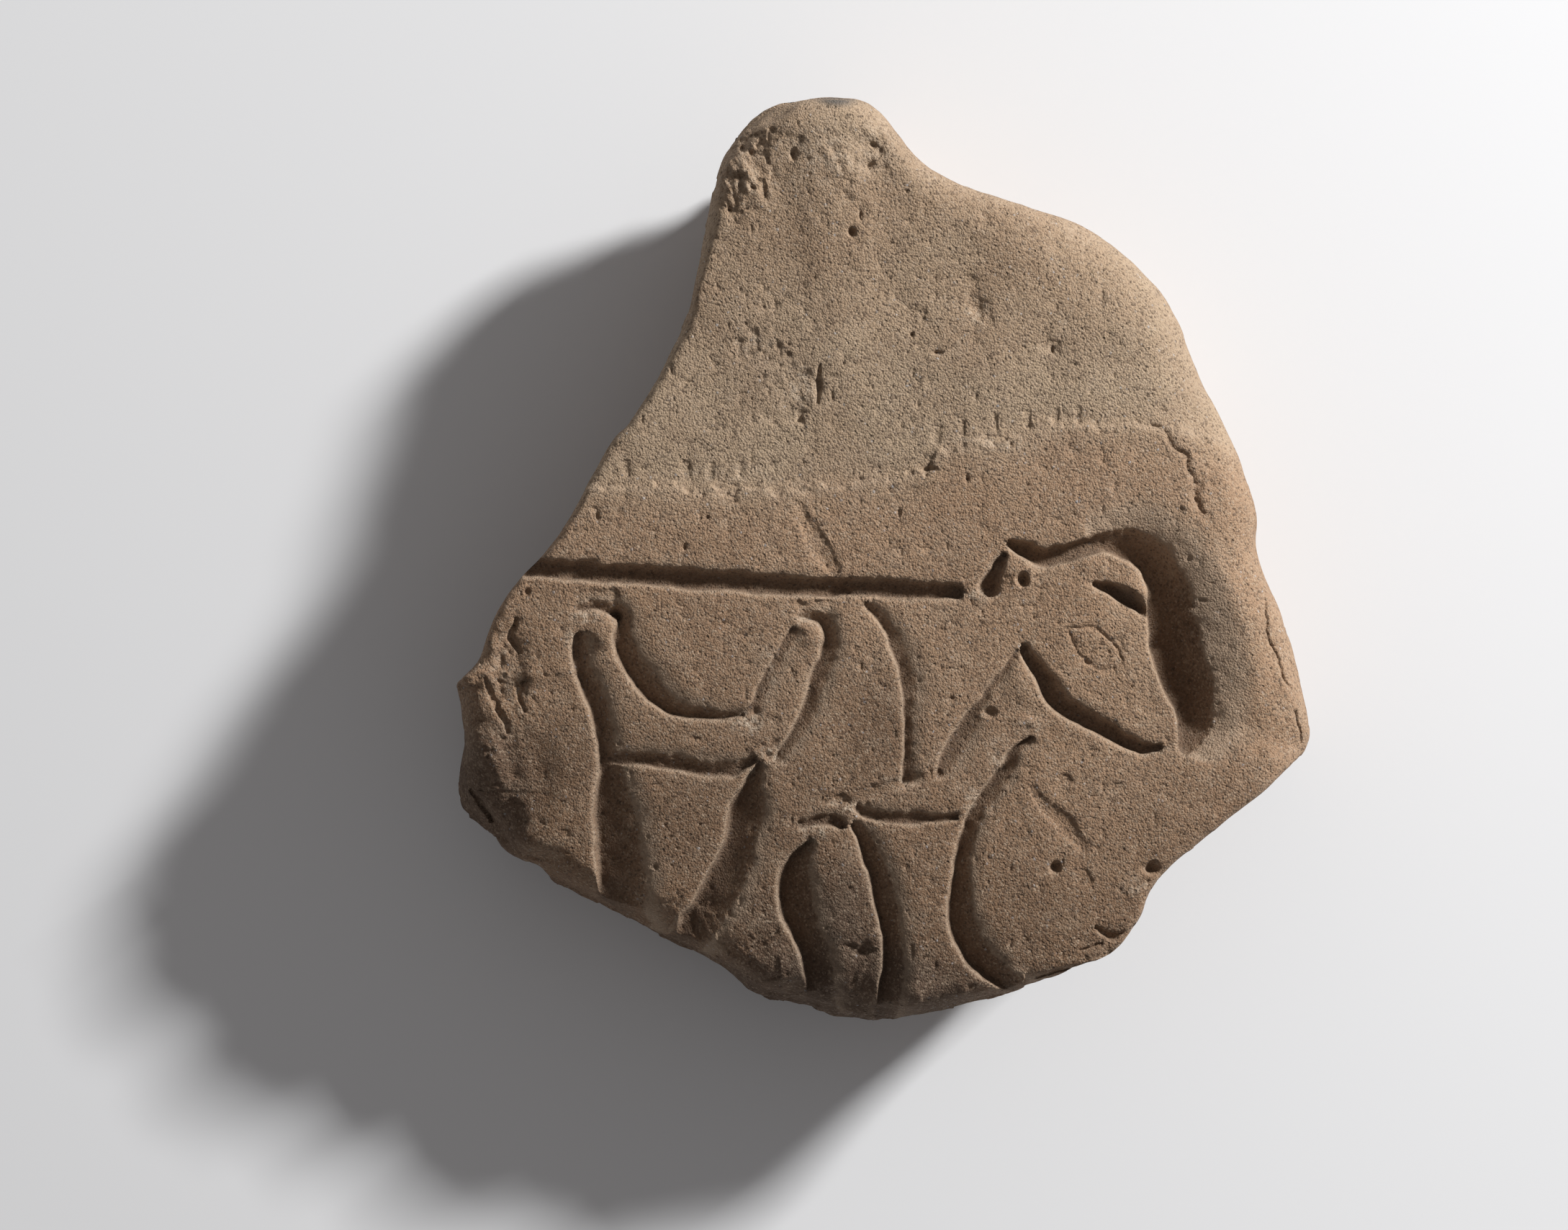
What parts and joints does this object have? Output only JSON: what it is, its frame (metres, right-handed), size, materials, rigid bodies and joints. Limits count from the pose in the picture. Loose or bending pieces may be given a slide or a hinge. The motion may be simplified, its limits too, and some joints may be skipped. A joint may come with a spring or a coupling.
{
  "type": "stone relief panel",
  "caption": "Thick broken slab of brown sandstone with an animal relief cut in sunk outlines on its face; lies flat with the carving up.",
  "frame": {"origin": "middle of the outline's box, at the level of the flat underside", "axes": "+Z out of the carved face, +Y towards the crown of the relief, +X to the right as the face is seen"},
  "size_m": [0.3576, 0.3902, 0.095],
  "materials": {
    "sandstone": "matt, grainy, medium-grained sandstone, weathered and dusty in the cuts"
  },
  "bodies": {
    "root": {"relief_slab": "sandstone"}
  },
  "joints": []
}
